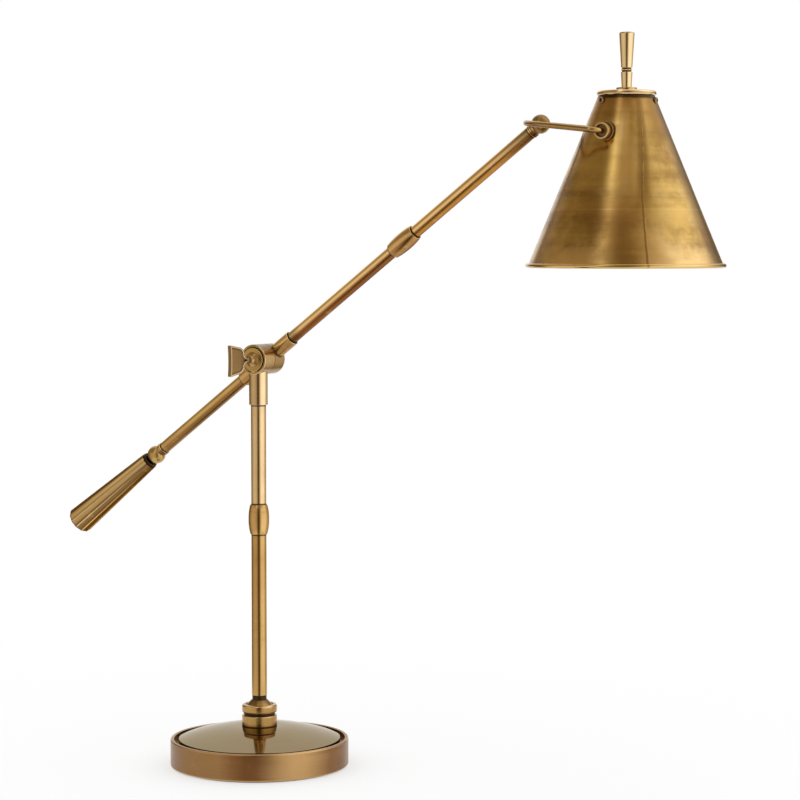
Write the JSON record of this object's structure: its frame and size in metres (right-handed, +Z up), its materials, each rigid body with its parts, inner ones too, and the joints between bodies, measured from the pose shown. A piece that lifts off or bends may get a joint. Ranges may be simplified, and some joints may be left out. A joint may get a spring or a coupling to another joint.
{
  "type": "boom-arm table lamp",
  "caption": "Aged brass table lamp: weighted round base, turning stem, tilting boom with a faceted counterweight, and a conical shade on a pivoting fork with a rotary switch knob on top.",
  "frame": {"origin": "centre of the base's underside, on the table", "axes": "+Z up along the stem, +X toward the shade, +Y toward the boom's side of the stem; the thumb wing points to -Y"},
  "size_m": [0.7744, 0.2075, 0.7494],
  "materials": {
    "aged_brass": "aged, burnished",
    "polished_brass": "polished, lightly aged",
    "shade_brass": "brushed round, aged",
    "dark_brass": "darkened",
    "bright_brass": "bright",
    "cast_weight": "rough cast",
    "zinc_steel": "zinc plated",
    "felt": "pressed felt",
    "dark_fibre": "vulcanised fibre",
    "black_plastic": "moulded",
    "lead_sheath": "smooth sheath",
    "bulb_metal": "bright",
    "bulb_glass": "frosted"
  },
  "bodies": {
    "base": {"felt_pad": "felt", "base_cover": "zinc_steel", "cover_screws": "zinc_steel", "base_weight": "cast_weight", "base_rim": "aged_brass", "base_plate": "polished_brass", "cord_bushing": "black_plastic", "base_rod": "zinc_steel", "rod_nut": "zinc_steel", "rod_washer": "zinc_steel", "foot_ring": "aged_brass", "swivel_washer": "dark_fibre", "swivel_locknut": "zinc_steel"},
    "stem": {"foot_collar": "aged_brass", "lower_stem_tube": "aged_brass", "stem_coupling": "aged_brass", "upper_stem_tube": "aged_brass", "stem_sleeve": "aged_brass", "clamp_head": "aged_brass", "stem_lead": "lead_sheath"},
    "thumb": {"thumb_wing": "aged_brass", "thumb_washer": "aged_brass", "clamp_screw": "zinc_steel"},
    "boom": {"boom_block": "aged_brass", "clamp_nut": "aged_brass", "front_sleeve": "aged_brass", "rear_sleeve": "aged_brass", "lower_boom_tube": "aged_brass", "boom_coupling": "aged_brass", "upper_boom_tube": "aged_brass", "tip_collar": "aged_brass", "tip_ball": "aged_brass", "boom_lead": "lead_sheath", "rear_tube": "aged_brass", "rear_collar": "aged_brass", "rear_ball": "aged_brass", "weight_stud": "dark_brass", "counterweight": "aged_brass"},
    "fork": {"fork_tube": "aged_brass", "pivot_cap_front": "aged_brass", "pivot_cap_back": "aged_brass", "pivot_ring_front": "aged_brass", "pivot_ring_back": "aged_brass"},
    "shade": {"shade_shell": "shade_brass", "shade_lid": "polished_brass", "lid_screws": "dark_brass", "pivot_saddle_front": "aged_brass", "pivot_saddle_back": "aged_brass", "pivot_pins": "zinc_steel", "knob_washer": "polished_brass", "knob_stem": "polished_brass", "switch_body": "black_plastic", "lampholder": "black_plastic", "socket_shell": "bright_brass", "centre_contact": "bright_brass", "bulb_cap": "bulb_metal", "bulb_glass": "bulb_glass"},
    "knob": {"switch_knob": "polished_brass", "switch_spindle": "zinc_steel"}
  },
  "joints": [
    {"name": "stem_swivel", "type": "hinge", "parent": "base", "child": "stem", "pos_m": [0, 0, 0.06], "axis": [0, 0, 1], "range_deg": [-170, 170]},
    {"name": "boom_tilt", "type": "hinge", "parent": "stem", "child": "boom", "pos_m": [0, 0.01785, 0.4275], "axis": [0, 1, 0], "range_deg": [-38, 50]},
    {"name": "thumb_turn", "type": "hinge", "parent": "stem", "child": "thumb", "pos_m": [0, 0, 0.4275], "axis": [0, 1, 0], "range_deg": [-180, 180]},
    {"name": "fork_tilt", "type": "hinge", "parent": "boom", "child": "fork", "pos_m": [0.32359, 0.01785, 0.66433], "axis": [0, 1, 0], "range_deg": [-40, 13]},
    {"name": "shade_tilt", "type": "hinge", "parent": "fork", "child": "shade", "pos_m": [0.41661, 0.01785, 0.6539], "axis": [0, 1, 0], "range_deg": [-60, 20]},
    {"name": "knob_turn", "type": "hinge", "parent": "shade", "child": "knob", "pos_m": [0.41661, 0.01785, 0.7189], "axis": [0, 0, 1], "continuous": true}
  ]
}
